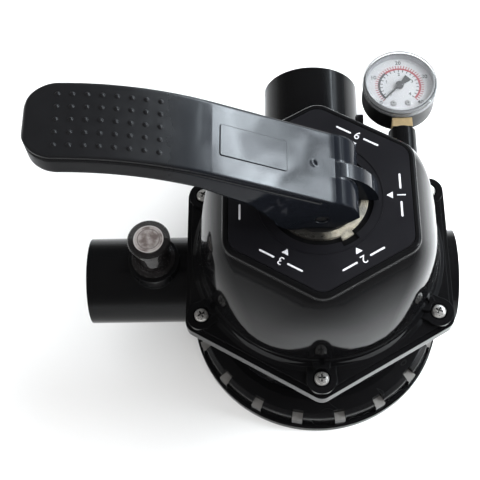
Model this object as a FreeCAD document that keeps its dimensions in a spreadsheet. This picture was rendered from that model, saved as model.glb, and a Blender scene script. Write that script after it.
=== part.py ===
import FreeCAD, Part
import math
import os
import re

import Sketcher
from FreeCAD import Placement, Rotation, Vector

# Six-way multiport valve, top-mounted on a sand filter.
# Frame: origin at the mouth of the central standpipe socket, on the valve's axis, in the plane of the collar
# nut's lower rim. +Z runs up the valve's axis, the side port points along -X and the rear port along +Y.

SIZES = {
    # collar nut and tank neck
    "nut_radius": 92, "nut_height": 24, "nut_lip": 6, "nut_bore_radius": 81, "nut_throat_radius": 71,
    "nut_shoulder_radius": 88.4, "nut_roof": 7, "lug_count": 18, "lug_width": 7.6, "lug_top_height": 15.5,
    "notch_depth": 4.4, "neck_radius": 68, "tank_flange_radius": 79, "tank_flange_bottom": 10,
    "tank_flange_top": 16,
    # valve body
    "bowl_radius": 76, "bowl_wall": 6, "bowl_bottom": 36, "floor_thick": 5, "seat_top": 98, "seat_thick": 6,
    "hub_tube_radius": 30, "standpipe_radius": 25.1, "standpipe_depth": 32, "standpipe_throat": 22,
    "body_flange_bottom": 98, "body_flange_top": 106, "body_flange_inradius": 89, "body_flange_corner": 8,
    "port_height": 69.5,
    "side_port_radius": 30.2, "side_port_reach": 159.5, "pipe_small_radius": 25.1, "side_socket_depth": 32,
    "rear_port_radius": 35.5, "rear_port_reach": 156, "pipe_large_radius": 30.1, "rear_socket_depth": 36,
    "waste_port_radius": 32, "waste_port_reach": 96, "waste_socket_depth": 22, "port_throat": 22.5,
    # lid
    "screw_circle": 90, "lug_radius": 10, "lug_top": 112, "lid_flange_inradius": 86, "lid_flange_corner": 12,
    "lid_flange_thick": 3.5, "dome_base_radius": 80, "dome_wall": 5, "dome_top": 186, "foot_top": 119,
    "plate_inradius": 60.2, "plate_corner": 13, "plate_top": 190, "label_inradius": 56.3,
    "label_corner": 10, "label_thick": 1.4, "hub_recess_radius": 33, "hub_floor": 188,
    "nub_circle": 80.3, "nub_radius": 6, "nub_top": 116.5, "gauge_boss_end": 61.8, "gusset_end": 61.7,
    # rotor, stem and spring
    "gasket_thick": 3, "rotor_radius": 68, "rotor_height": 28, "stem_radius": 8, "stem_top_radius": 7.5,
    "spring_radius": 17, "spring_wire": 3.6, "spring_turns": 5.5,
    # handle
    "pin_height": 204, "pin_radius": 4, "cam_plate_radius": 25, "cam_plate_bottom": 191, "washer_top": 192,
    "washer_radius": 29.5, "washer_tab": 32.3,
    "cam_offset": 16, "handle_half_width": 23.5, "handle_reach": 163, "handle_top": 283.6,
    "arm_angle": 28.4, "arm_bend_radius": 187, "skirt_depth": 16.5, "handle_wall": 3, "stud_pitch": 8.1,
    "pointer_half_width": 4.8, "running_gap": 0.05,
    # sight glass
    "glass_x": -112, "glass_radius": 10.5, "glass_head_radius": 14.3, "glass_top": 136, "glass_seat": 105,
    # pressure gauge
    "gauge_x": 56.5, "gauge_y": 94.6, "gauge_radius": 25, "gauge_top": 174, "gauge_depth": 24,
    "gauge_stem_height": 161.5,
}

SCREW_ANGLES = [30 + 60 * turn for turn in range(6)]
SOCKET_LEAD = 1.0          # chamfer at the mouth of every pipe socket

doc = FreeCAD.newDocument("multiport_valve")
sheet = doc.addObject("Spreadsheet::Sheet", "Sizes")
for row, (alias, number) in enumerate(SIZES.items(), 1):
    sheet.set(f"A{row}", alias)
    sheet.set(f"B{row}", str(number))
    sheet.setAlias(f"B{row}", alias)
doc.recompute()

WORD = re.compile(r"[a-z][a-z_]+")
subparts = []


# ---------------------------------------------------------------- helpers

def formula(text):
    """An expression on the sheet, from a formula written with the plain names of the sizes."""
    return WORD.sub(lambda word: "Sizes." + word.group() if word.group() in SIZES else word.group(), str(text))


def value(text):
    """The number that a formula has now."""
    numbers = WORD.sub(lambda word: f"({SIZES[word.group()]})", str(text))
    return FreeCAD.Units.Quantity(numbers).Value


def bind(thing, **formulas):
    for name, text in formulas.items():
        thing.setExpression(name, formula(text))


def place(thing, x=0, y=0, z=0, rotation=None, prop="Placement"):
    """Put a feature or a body somewhere, with its position bound to the sheet."""
    spot = Vector(value(x), value(y), value(z))
    setattr(thing, prop, Placement(spot, rotation or Rotation()))
    for axis, text in zip("xyz", (x, y, z)):
        if WORD.search(str(text)):
            thing.setExpression(f"{prop}.Base.{axis}", formula(text))


def new_body(label):
    body = doc.addObject("PartDesign::Body", label)
    body.Label = label
    subparts.append(body)
    return body


def new_sketch(body, role="XY_Plane", z=0):
    """A sketch on one of the body's own planes, lifted along the plane's normal."""
    sketch = body.newObject("Sketcher::SketchObject", f"{body.Name}_sketch")
    plane = next(item for item in body.Origin.OriginFeatures if item.Role == role)
    sketch.AttachmentSupport = [(plane, "")]
    sketch.MapMode = "FlatFace"
    place(sketch, z=z, prop="AttachmentOffset")
    return sketch


def hold(sketch, edge, end, x, y):
    """Fix one point of a sketch edge by its two coordinates."""
    for kind, axis, text in (("DistanceX", -2, x), ("DistanceY", -1, y)):
        if value(text) == 0:
            sketch.addConstraint(Sketcher.Constraint("PointOnObject", edge, end, axis))
            continue
        index = sketch.addConstraint(Sketcher.Constraint(kind, -1, 1, edge, end, value(text)))
        if WORD.search(str(text)):
            sketch.setExpression(f"Constraints[{index}]", formula(text))


def polygon(sketch, corners):
    """A closed outline of straight edges."""
    first = sketch.GeometryCount
    count = len(corners)
    spots = [Vector(value(x), value(y), 0) for x, y in corners]
    for number in range(count):
        sketch.addGeometry(Part.LineSegment(spots[number], spots[(number + 1) % count]), False)
    for number in range(count):
        after = first + (number + 1) % count
        sketch.addConstraint(Sketcher.Constraint("Coincident", first + number, 2, after, 1))
    for number, (x, y) in enumerate(corners):
        hold(sketch, first + number, 1, x, y)


def circle(sketch, radius, x=0, y=0):
    edge = sketch.addGeometry(Part.Circle(Vector(value(x), value(y), 0), Vector(0, 0, 1), value(radius)), False)
    if value(x) == 0 and value(y) == 0:
        sketch.addConstraint(Sketcher.Constraint("Coincident", edge, 3, -1, 1))
    else:
        hold(sketch, edge, 3, x, y)
    index = sketch.addConstraint(Sketcher.Constraint("Radius", edge, value(radius)))
    sketch.setExpression(f"Constraints[{index}]", formula(radius))


def rounded_hexagon(sketch, inradius, corner):
    """A hexagon with round corners, one corner at each screw angle."""
    reach = (value(inradius) - value(corner)) / math.cos(math.radians(30))
    centres = [Vector(reach * math.cos(math.radians(a)), reach * math.sin(math.radians(a)), 0)
               for a in SCREW_ANGLES]
    arcs = []
    for angle, centre in zip(SCREW_ANGLES, centres):
        round_edge = Part.Circle(centre, Vector(0, 0, 1), value(corner))
        arc = Part.ArcOfCircle(round_edge, math.radians(angle - 30), math.radians(angle + 30))
        arcs.append(sketch.addGeometry(arc, False))
    lines = []
    for number, arc in enumerate(arcs):
        after = arcs[(number + 1) % 6]
        line = Part.LineSegment(sketch.getPoint(arc, 2), sketch.getPoint(after, 1))
        lines.append(sketch.addGeometry(line, False))
    for number, (arc, line) in enumerate(zip(arcs, lines)):
        sketch.addConstraint(Sketcher.Constraint("Tangent", arc, 2, line, 1))
        sketch.addConstraint(Sketcher.Constraint("Tangent", line, 2, arcs[(number + 1) % 6], 1))
    for number, arc in enumerate(arcs):
        index = sketch.addConstraint(Sketcher.Constraint("Radius", arc, value(corner)))
        sketch.setExpression(f"Constraints[{index}]", formula(corner))
    spread = formula(f"(({inradius}) - ({corner}))") + " / cos(30 deg)"
    for number, (angle, centre) in enumerate(zip(SCREW_ANGLES, centres)):
        turns = (("DistanceX", "cos", centre.x), ("DistanceY", "sin", centre.y))
        for kind, turn, now in turns:
            if abs(now) < 1e-9:
                axis = -2 if kind == "DistanceX" else -1
                sketch.addConstraint(Sketcher.Constraint("PointOnObject", arcs[number], 3, axis))
                continue
            index = sketch.addConstraint(Sketcher.Constraint(kind, -1, 1, arcs[number], 3, now))
            sketch.setExpression(f"Constraints[{index}]", f"{spread} * {turn}({angle} deg)")


def pad(body, sketch, length, symmetric=False, kind="Pad"):
    feature = body.newObject(f"PartDesign::{kind}", f"{body.Name}_{kind.lower()}")
    feature.Profile = sketch
    feature.Midplane = symmetric
    bind(feature, Length=length)
    sketch.Visibility = False
    return feature


def pocket(body, sketch, length, symmetric=False, upward=True):
    """Cut the sketch's outline over a length, along the sketch's normal when upward."""
    feature = pad(body, sketch, length, symmetric, "Pocket")
    feature.Reversed = upward and not symmetric
    return feature


def revolve(body, corners, kind="Revolution"):
    """Turn an outline of (radius, height) corners about the body's Z axis, or cut it out as a Groove."""
    sketch = new_sketch(body, "XZ_Plane")
    polygon(sketch, corners)
    feature = body.newObject(f"PartDesign::{kind}", f"{body.Name}_{kind.lower()}")
    feature.Profile = sketch
    feature.ReferenceAxis = (sketch, ["V_Axis"])
    feature.Angle = 360
    sketch.Visibility = False
    return feature


def revolved_body(label, corners):
    body = new_body(label)
    revolve(body, corners)
    return body


def ring(body, inner, outer, bottom, top, kind="Revolution"):
    return revolve(body, [(inner, bottom), (outer, bottom), (outer, top), (inner, top)], kind)


def cylinder(body, radius, height, x=0, y=0, z=0, along=Vector(0, 0, 1), cut=False):
    """A round bar or hole that starts at x, y, z and runs along a direction."""
    kind = "SubtractiveCylinder" if cut else "AdditiveCylinder"
    feature = body.newObject(f"PartDesign::{kind}", f"{body.Name}_{kind.lower()}")
    bind(feature, Radius=radius, Height=height)
    place(feature, x, y, z, Rotation(Vector(0, 0, 1), along))
    return feature


def cone(body, start_radius, end_radius, height, x=0, y=0, z=0, along=Vector(0, 0, 1), cut=False):
    kind = "SubtractiveCone" if cut else "AdditiveCone"
    feature = body.newObject(f"PartDesign::{kind}", f"{body.Name}_{kind.lower()}")
    bind(feature, Radius1=start_radius, Radius2=end_radius, Height=height)
    place(feature, x, y, z, Rotation(Vector(0, 0, 1), along))
    return feature


def block(body, length, width, height, x=0, y=0, z=0, turn=0, cut=False):
    """A box centred in Y on its own X axis, which is turned about Z by an angle in degrees."""
    kind = "SubtractiveBox" if cut else "AdditiveBox"
    feature = body.newObject(f"PartDesign::{kind}", f"{body.Name}_{kind.lower()}")
    bind(feature, Length=length, Width=width, Height=height)
    swing = math.radians(turn)
    shift = value(width) / 2
    near_x = value(x) * math.cos(swing) - (value(y) - shift) * math.sin(swing)
    near_y = value(x) * math.sin(swing) + (value(y) - shift) * math.cos(swing)
    place(feature, near_x, near_y, z, Rotation(Vector(0, 0, 1), turn))
    return feature


def around(body, features, count):
    """Repeat features evenly about the valve's axis."""
    pattern = body.newObject("PartDesign::PolarPattern", f"{body.Name}_pattern")
    pattern.Originals = features
    axis = next(item for item in body.Origin.OriginFeatures if item.Role == "Z_Axis")
    pattern.Axis = (axis, [""])
    pattern.Angle = 360
    pattern.Occurrences = int(value(count))
    body.Tip = pattern
    return pattern


def edges_where(shape, test):
    return [f"Edge{number}" for number, edge in enumerate(shape.Edges, 1) if test(edge)]


def dress(body, base, kind, size, test):
    """Fillet or Chamfer the edges of the base feature that pass a test."""
    doc.recompute()
    names = edges_where(base.Shape, test)
    if not names:
        raise ValueError(f"{body.Label}: no edge to dress")
    feature = body.newObject(f"PartDesign::{kind}", f"{body.Name}_{kind.lower()}")
    feature.Base = (base, names)
    if kind == "Fillet":
        feature.Radius = size
    else:
        feature.Size = size
    return feature


def level_edge(edge, height, least_radius=0.0, most_radius=1e9):
    """True for an edge that lies flat at a height, between two distances from the axis."""
    span = edge.LastParameter - edge.FirstParameter
    spots = [edge.valueAt(edge.FirstParameter + span * share) for share in (0, 0.3, 0.6, 1)]
    level = all(abs(spot.z - height) < 0.01 for spot in spots)
    return level and all(least_radius <= math.hypot(spot.x, spot.y) <= most_radius for spot in spots)


def group(label, template, spots):
    """One node of separate copies of a template's solid, each at a placement."""
    doc.recompute()
    feature = doc.addObject("Part::Feature", label)
    feature.Label = label
    copies = []
    for spot in spots:
        copy = template.Shape.copy()
        copy.Placement = spot.multiply(copy.Placement)
        copies.append(copy)
    feature.Shape = Part.makeCompound(copies)
    subparts.append(feature)
    return feature


def template_body(label, corners):
    """A body that is only copied from, and isn't a sub-part of its own."""
    body = revolved_body(label, corners)
    subparts.remove(body)
    return body


def screw_spots(radius, height):
    """Placements on the screw circle."""
    return [Placement(Vector(radius * math.cos(math.radians(a)), radius * math.sin(math.radians(a)), height),
                      Rotation(Vector(0, 0, 1), a)) for a in SCREW_ANGLES]


def sector(sketch, inner, outer, half_angle):
    """A window between two radii, centred on +X, with straight radial sides."""
    swing = math.radians(half_angle)
    axis = Vector(0, 0, 1)
    arcs = []
    for radius in (inner, outer):
        curve = Part.Circle(Vector(), axis, value(radius))
        arcs.append(sketch.addGeometry(Part.ArcOfCircle(curve, -swing, swing), False))
    sides = []
    for end in (1, 2):
        line = Part.LineSegment(sketch.getPoint(arcs[0], end), sketch.getPoint(arcs[1], end))
        sides.append(sketch.addGeometry(line, False))
    for number, radius in enumerate((inner, outer)):
        arc = arcs[number]
        sketch.addConstraint(Sketcher.Constraint("Coincident", arc, 3, -1, 1))
        index = sketch.addConstraint(Sketcher.Constraint("Radius", arc, value(radius)))
        sketch.setExpression(f"Constraints[{index}]", formula(radius))
        for end, side, sign in ((1, sides[0], "-"), (2, sides[1], "")):
            sketch.addConstraint(Sketcher.Constraint("Coincident", side, number + 1, arc, end))
            height = sketch.getPoint(arc, end).y
            index = sketch.addConstraint(Sketcher.Constraint("DistanceY", -1, 1, arc, end, height))
            reach = f"{sign}({formula(radius)})"
            sketch.setExpression(f"Constraints[{index}]", f"{reach} * sin({half_angle} deg)")


# ---------------------------------------------------------------- valve body

def make_valve_body():
    """Bowl with a hexagonal flange, tank flange, standpipe socket, seat with six windows and three ports."""
    body = new_body("valve_body")
    revolve(body, [
        (16, "seat_top"), ("bowl_radius", "seat_top"), ("bowl_radius", "bowl_bottom + 6"),
        ("neck_radius", "bowl_bottom - 2"), ("neck_radius", "tank_flange_top"),
        ("tank_flange_radius", "tank_flange_top"), ("tank_flange_radius", "tank_flange_bottom"),
        ("neck_radius - 1", "tank_flange_bottom"), ("neck_radius - 1", 3), ("neck_radius - 6", 3),
        ("neck_radius - 6", "bowl_bottom + 4"), ("bowl_radius - bowl_wall", "bowl_bottom + 10"),
        ("bowl_radius - bowl_wall", "seat_top - seat_thick"), ("hub_tube_radius", "seat_top - seat_thick"),
        ("hub_tube_radius", 0), ("standpipe_radius", 0), ("standpipe_radius", "standpipe_depth"),
        ("standpipe_throat", "standpipe_depth"), ("standpipe_throat", "seat_top - seat_thick"),
        (16, "seat_top - seat_thick")])
    ring(body, "hub_tube_radius - 2", "neck_radius - 4", "bowl_bottom", "bowl_bottom + floor_thick")

    flange = new_sketch(body, z="body_flange_bottom")
    rounded_hexagon(flange, "body_flange_inradius", "body_flange_corner")
    circle(flange, "bowl_radius - 3")
    pad(body, flange, "body_flange_top - body_flange_bottom")
    insert_boss = cylinder(body, 7, 4, "screw_circle", 0, "body_flange_bottom - 4")
    around_screw_circle(body, insert_boss)

    ports = (
        (Vector(-1, 0, 0), "side_port_radius", "side_port_reach", "pipe_small_radius", "side_socket_depth",
         "port_throat"),
        (Vector(0, 1, 0), "rear_port_radius", "rear_port_reach", "pipe_large_radius", "rear_socket_depth",
         "port_throat + 3.5"),
        (Vector(1, 0, 0), "waste_port_radius", "waste_port_reach", "pipe_small_radius", "waste_socket_depth",
         "port_throat"))
    for along, radius, reach, _, _, _ in ports:
        cylinder(body, radius, f"{reach} - 66", *spot_along(along, "66"), "port_height", along)
    cylinder(body, "bowl_radius - 3", "body_flange_top - seat_top + 1", z="seat_top", cut=True)
    cylinder(body, 17.5, 22, "glass_x", 0, "glass_seat - 22")
    cylinder(body, 4.2, 8, 31.6, 130, "port_height + 2", Vector(1, 0, 0))
    for along, _, reach, bore, depth, throat in ports:
        cylinder(body, throat, f"{reach} - 60", *spot_along(along, "60"), "port_height", along, cut=True)
        cylinder(body, bore, depth, *spot_along(along, f"{reach} - {depth}"), "port_height", along, cut=True)
        cone(body, bore, f"{bore} + {SOCKET_LEAD}", SOCKET_LEAD, *spot_along(along, f"{reach} - {SOCKET_LEAD}"),
             "port_height", along, cut=True)
    cylinder(body, "glass_radius", 30, "glass_x", 0, "glass_seat - 24", cut=True)
    cylinder(body, "glass_radius + 2.2", 2, "glass_x", 0, "glass_seat - 2", cut=True)

    for angle in (30, 150, 210, 330):
        block(body, "bowl_radius - bowl_wall - hub_tube_radius + 4", 4,
              "seat_top - seat_thick - bowl_bottom", "hub_tube_radius - 2", 0, "bowl_bottom", angle)
    window = new_sketch(body, z="seat_top - seat_thick - 1")
    sector(window, "hub_tube_radius + 4", "bowl_radius - 15", 23)
    first = pocket(body, window, "seat_thick + 2")
    around(body, [first], 6)
    duct = new_sketch(body, z="bowl_bottom - 1")
    sector(duct, "hub_tube_radius + 4", "neck_radius - 8", 26)
    pocket(body, duct, "floor_thick + 2")
    duct.AttachmentOffset = Placement(duct.AttachmentOffset.Base, Rotation(Vector(0, 0, 1), -90))

    ring(body, 79, 83, "body_flange_top - 2.6", "body_flange_top + 1", kind="Groove")
    ring(body, 71.5, 75.5, "tank_flange_bottom - 1", "tank_flange_bottom + 2.6", kind="Groove")
    hole = cylinder(body, 3.5, 8, "screw_circle", 0, "body_flange_top - 7.5", cut=True)
    around_screw_circle(body, hole)
    return body


def spot_along(along, distance):
    """Two coordinate formulas for a point at a distance along a level direction."""
    return [f"{int(part)} * ({distance})" if part else 0 for part in (along.x, along.y)]


def around_screw_circle(body, *features):
    """Six copies of round features that are drawn on the X axis, turned onto the screw angles."""
    for feature in features:
        reach = feature.Placement.Base.x
        on_nubs = abs(reach - value("nub_circle")) < 0.01
        circle_name = "nub_circle" if on_nubs else "screw_circle"
        feature.setExpression("Placement.Base.x", f"Sizes.{circle_name} * cos(30 deg)")
        feature.setExpression("Placement.Base.y", f"Sizes.{circle_name} * sin(30 deg)")
    return around(body, list(features), 6)


# ---------------------------------------------------------------- lid and label

DOME_OUTSIDE = (  # height, in-radius and corner radius of each level of the dome
    (106, "dome_base_radius", "dome_base_radius - 0.5"), (134, "dome_base_radius - 2", "dome_base_radius - 9"),
    (161, "dome_base_radius - 7", "dome_base_radius - 32"), (178, "plate_inradius + 5.8", "plate_corner + 12"),
    ("dome_top", "plate_inradius", "plate_corner"))
DOME_INSIDE = (
    (105, "dome_base_radius - dome_wall", "dome_base_radius - dome_wall - 0.5"),
    (132, "dome_base_radius - dome_wall - 2", "dome_base_radius - dome_wall - 9"),
    (158, "dome_base_radius - dome_wall - 7.5", "dome_base_radius - dome_wall - 32"),
    (173, "plate_inradius + 0.5", "plate_corner + 8"), ("dome_top - 6", "plate_inradius - 6", "plate_corner - 3"))


def dome(body, levels, kind):
    sketches = []
    for height, inradius, corner in levels:
        sketch = new_sketch(body, z=height)
        rounded_hexagon(sketch, inradius, corner)
        sketch.Visibility = False
        sketches.append(sketch)
    loft = body.newObject(f"PartDesign::{kind}", f"{body.Name}_{kind.lower()}")
    loft.Profile = sketches[0]
    loft.Sections = sketches[1:]
    loft.Ruled = False
    return loft


def tab_notches(body, inner, outer, half_angle, bottom, height):
    """Three keyed notches in the hub's rim, one towards each of three screw-free sides."""
    sketch = new_sketch(body, z=bottom)
    sector(sketch, inner, outer, half_angle)
    sketch.AttachmentOffset = Placement(sketch.AttachmentOffset.Base, Rotation(Vector(0, 0, 1), 60))
    return around(body, [pocket(body, sketch, height)], 3)


def make_lid():
    """Hexagonal flange with six screw lugs, lofted dome with a hexagonal top, stem guide and gauge boss."""
    body = new_body("lid")
    dome(body, DOME_OUTSIDE, "AdditiveLoft")
    flange = new_sketch(body, z="body_flange_top")
    rounded_hexagon(flange, "lid_flange_inradius", "lid_flange_corner")
    pad(body, flange, "lid_flange_thick")
    revolve(body, [(40, "body_flange_top"), ("dome_base_radius + 5", "body_flange_top"),
                   ("dome_base_radius + 5", "body_flange_top + lid_flange_thick"),
                   ("dome_base_radius + 2.4", "body_flange_top + 5.5"), ("dome_base_radius + 0.9", "foot_top - 4"),
                   ("dome_base_radius + 0.3", "foot_top"), (40, "foot_top")])
    top = new_sketch(body, z="dome_top")
    rounded_hexagon(top, "plate_inradius", "plate_corner")
    plate = pad(body, top, "plate_top - dome_top")
    dress(body, plate, "Fillet", 2.6, lambda edge: level_edge(edge, value("plate_top")))

    lug = cylinder(body, "lug_radius", "lug_top - body_flange_top", "screw_circle", 0, "body_flange_top")
    nub = cylinder(body, "nub_radius", "nub_top - body_flange_top", "nub_circle", 0, "body_flange_top")
    around_screw_circle(body, lug, nub)
    lug_square = block(body, "lug_radius - 1.5", "2 * lug_radius - 1", "lug_top - body_flange_top",
                       "screw_circle - lug_radius + 1.5", 0, "body_flange_top", 30)
    around(body, [lug_square], 6)

    cylinder(body, 9, "gauge_boss_end - 28", "gauge_x", 28, "gauge_stem_height", Vector(0, 1, 0))
    block(body, 13.5, 22, 52, "gauge_x - 4.5", "gusset_end - 11", "gauge_stem_height - 52")
    dome(body, DOME_INSIDE, "SubtractiveLoft")
    cylinder(body, 13, 14, 0, 0, "dome_top - 18")
    cylinder(body, "stem_radius + running_gap", 40, 0, 0, "dome_top - 24", cut=True)
    cylinder(body, 4.9, 44, "gauge_x", 23, "gauge_stem_height", Vector(0, 1, 0), cut=True)
    label = new_sketch(body, z="plate_top - label_thick")
    rounded_hexagon(label, "label_inradius", "label_corner")
    pocket(body, label, "label_thick + 1")

    screw_hole = cylinder(body, 2.75, 20, "screw_circle", 0, "body_flange_top - 1", cut=True)
    sunk_seat = cylinder(body, 5.6, "nub_top - lug_top + 2.2", "screw_circle", 0, "lug_top - 1.2", cut=True)
    dimple = cylinder(body, 2.0, 6, "nub_circle", 0, "nub_top - 0.8", cut=True)
    around_screw_circle(body, screw_hole, sunk_seat, dimple)
    return body


def make_label():
    """Dial plate let into the lid's top, with a raised ring and a keyed hole for the hub washer."""
    body = new_body("label_plate")
    sheet_outline = new_sketch(body, z="plate_top - label_thick")
    rounded_hexagon(sheet_outline, "label_inradius - 0.25", "label_corner - 0.25")
    circle(sheet_outline, "hub_recess_radius")
    pad(body, sheet_outline, "label_thick")
    ring(body, 38.4, 39.2, "plate_top - 0.4", "plate_top + 0.35")
    tab_notches(body, "hub_recess_radius - 1", "hub_recess_radius + 3.5", 9, "plate_top - label_thick - 1",
                "label_thick + 2")
    return body


def make_hub_washers():
    """Wear washer, kept from turning by three tabs, and on it the hard plate that the handle's cams press."""
    body = new_body("hub_washer")
    ring(body, "stem_radius + 1.5", "washer_radius", "plate_top - label_thick", "cam_plate_bottom")
    sketch = new_sketch(body, z="plate_top - label_thick")
    sector(sketch, "washer_radius - 2", "washer_tab", 7)
    sketch.AttachmentOffset = Placement(sketch.AttachmentOffset.Base, Rotation(Vector(0, 0, 1), 60))
    tab = pad(body, sketch, "cam_plate_bottom - plate_top + label_thick - 0.4")
    around(body, [tab], 3)
    plate = new_body("cam_plate")
    ring(plate, "stem_radius + 1.5", "cam_plate_radius", "cam_plate_bottom", "washer_top")


# ---------------------------------------------------------------- fasteners and seals

def make_screws():
    """Pan-head machine screws with a cross recess, and the brass inserts that they bite in."""
    head = value("lug_top - 1.2")
    template = template_body("screw_template", [
        (0, -12.2), (2.45, -12.2), (2.45, 0), (4.75, 0), (4.75, 1.4), (3.9, 2.7), (2.2, 3.35), (0, 3.5)])
    for turn in (0, 90):
        block(template, 5, 1.1, 3, -2.5, 0, 1.7, turn, cut=True)
    reach = value("screw_circle")
    group("lid_screws", template, screw_spots(reach, head))
    insert = template_body("insert_template", [(2.5, 0), (3.5, 0), (3.5, 6.9), (2.5, 6.9)])
    group("screw_inserts", insert, screw_spots(reach, value("body_flange_top - 7.4")))


def oring(label, ring_radius, thickness, height, **spot):
    """A round-section ring about the body's Z axis."""
    body = new_body(label)
    sketch = new_sketch(body, "XZ_Plane")
    circle(sketch, thickness, ring_radius, height)
    feature = body.newObject("PartDesign::Revolution", f"{label}_turn")
    feature.Profile = sketch
    feature.ReferenceAxis = (sketch, ["V_Axis"])
    feature.Angle = 360
    sketch.Visibility = False
    place(body, **spot)
    return body


def make_seals():
    oring("lid_oring", 81, 1.3, "body_flange_top - 1.3")
    oring("neck_oring", 73.5, 1.7, "tank_flange_bottom + 0.85")
    template = oring("stem_oring_template", 6.7, 1.3, 0)
    subparts.remove(template)
    group("stem_orings", template, [Placement(Vector(0, 0, height), Rotation()) for height in (176, 181)])
    oring("sight_glass_oring", "glass_radius + 1", 0.95, "glass_seat - 0.98", x="glass_x")

    gasket = new_body("spider_gasket")
    ring(gasket, 15.5, "bowl_radius - 7", "seat_top", "seat_top + gasket_thick")
    window = new_sketch(gasket, z="seat_top - 1")
    sector(window, "hub_tube_radius + 5", "bowl_radius - 16", 21.5)
    around(gasket, [pocket(gasket, window, "gasket_thick + 2")], 6)


# ---------------------------------------------------------------- collar nut

def make_collar_nut():
    """Threaded collar that clamps the body's flange on the tank's neck, with spanner lugs round its skirt."""
    body = new_body("collar_nut")
    outside = revolve(body, [
        ("nut_bore_radius", 0), ("nut_radius", 0), ("nut_radius", "nut_lip - 1"), ("nut_radius - 1.2", "nut_lip"),
        ("nut_shoulder_radius + 0.3", "nut_lip"), ("nut_shoulder_radius", "nut_height - 6.5"),
        ("nut_shoulder_radius - 3.4", "nut_height - 2.6"), ("nut_shoulder_radius - 12", "nut_height"),
        ("nut_throat_radius", "nut_height"), ("nut_throat_radius", "nut_height - nut_roof"),
        ("nut_bore_radius", "nut_height - nut_roof")])
    dress(body, outside, "Fillet", 2.4, lambda edge: any(
        level_edge(edge, value(f"nut_height - {drop}"), 80) for drop in ("6.5", "2.6")))
    rib = block(body, "nut_radius - nut_bore_radius - 4.2", "lug_width", "lug_top_height - 3", "nut_bore_radius + 2.7",
                0, 3)
    notch = block(body, 12, "lug_width", 30, "nut_shoulder_radius - notch_depth", 0, "lug_top_height", cut=True)
    around(body, [rib, notch], "lug_count")
    return body


# ---------------------------------------------------------------- rotor, stem and spring

def make_rotor():
    """Diverter that joins neighbouring windows of the seat, with the stem moulded hub on top."""
    low = "seat_top + gasket_thick + running_gap"
    body = new_body("rotor")
    revolve(body, [("stem_radius", low), ("rotor_radius", low), ("rotor_radius", f"{low} + 6"),
                   ("rotor_radius - 6", f"{low} + 11"), ("spring_radius + 8", f"{low} + rotor_height - 4"),
                   ("spring_radius + 6", f"{low} + rotor_height"), ("stem_radius", f"{low} + rotor_height")])
    for angle, inner in ((0, "hub_tube_radius + 4"), (180, "stem_radius + 4")):
        sketch = new_sketch(body, z=f"{low} - 1")
        sector(sketch, inner, "bowl_radius - 15", 23)
        sketch.AttachmentOffset = Placement(sketch.AttachmentOffset.Base, Rotation(Vector(0, 0, 1), angle))
        pocket(body, sketch, 10)
    return body


def make_stem():
    """Shaft from the rotor up to the eye for the handle's pin, with two O-ring grooves."""
    low = "seat_top + gasket_thick + 2"
    body = new_body("rotor_stem")
    shoulder = "seat_top + gasket_thick + rotor_height + running_gap"
    revolve(body, [(0, low), ("stem_radius", low), ("stem_radius", shoulder), ("stem_radius + 3", shoulder),
                   ("stem_radius + 3", f"{shoulder} + 2"), ("stem_radius", f"{shoulder} + 3"),
                   ("stem_radius", "plate_top"), ("stem_top_radius", "plate_top + 1"),
                   ("stem_top_radius", "pin_height"), (0, "pin_height")])
    for height in (176, 181):
        ring(body, 5.4, "stem_radius + 1", height - 1.4, height + 1.4, kind="Groove")
    cylinder(body, "stem_top_radius", "2 * stem_top_radius", 0, "-1 * stem_top_radius", "pin_height",
             Vector(0, 1, 0))
    cylinder(body, "pin_radius", 30, 0, -15, "pin_height", Vector(0, 1, 0), cut=True)
    return body


def make_spring():
    """Compression spring between the rotor and the thrust washer, with flat ground ends."""
    bottom = value("seat_top + gasket_thick + rotor_height + running_gap")
    top = value("dome_top - 20")
    thickness = value("spring_wire")
    radius = value("spring_radius")
    height = top - bottom - thickness
    coil = Part.makeHelix(height / value("spring_turns"), height, radius)
    coil.translate(Vector(0, 0, bottom + thickness / 2))
    start = coil.Edges[0].valueAt(coil.Edges[0].FirstParameter)
    heading = coil.Edges[0].tangentAt(coil.Edges[0].FirstParameter)
    section = Part.Wire(Part.makeCircle(thickness / 2, start, heading))
    wire = Part.Wire(coil.Edges).makePipeShell([section], True, True)
    slab = Part.makeCylinder(radius + thickness, top - bottom, Vector(0, 0, bottom))
    feature = doc.addObject("Part::Feature", "rotor_spring")
    feature.Label = "rotor_spring"
    feature.Shape = wire.common(slab)
    subparts.append(feature)
    revolved_body("spring_thrust_washer", [
        ("stem_radius + 0.6", "dome_top - 20"), ("spring_radius + 4", "dome_top - 20"),
        ("spring_radius + 4", "dome_top - 18.05"), ("stem_radius + 0.6", "dome_top - 18.05")])


# ---------------------------------------------------------------- handle

def outline(sketch, start, steps):
    """A closed outline of straight steps (x, y) and arc steps (through x, through y, x, y)."""
    spots = [Vector(*start, 0)]
    edges = []
    for step in steps:
        spots.append(Vector(step[-2], step[-1], 0))
        if len(step) == 4:
            edges.append(Part.Arc(spots[-2], Vector(step[0], step[1], 0), spots[-1]))
        else:
            edges.append(Part.LineSegment(spots[-2], spots[-1]))
    first = sketch.GeometryCount
    count = len(edges)
    for edge in edges:
        sketch.addGeometry(edge, False)
    for number in range(count):
        edge = first + number
        after = first + (number + 1) % count
        turned = [Vector(sketch.getPoint(index, 1)).distanceToPoint(spots[where]) > 1e-6
                  for index, where in ((edge, number), (after, (number + 1) % count))]
        sketch.addConstraint(Sketcher.Constraint("Coincident", edge, 1 if turned[0] else 2,
                                                 after, 2 if turned[1] else 1))
        sketch.addConstraint(Sketcher.Constraint("Block", edge))


def on_arc(centre, radius, angle):
    """A point on a circle in the side view, by its angle from straight up, clockwise."""
    swing = math.radians(angle)
    return centre[0] + radius * math.sin(swing), centre[1] + radius * math.cos(swing)


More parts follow.
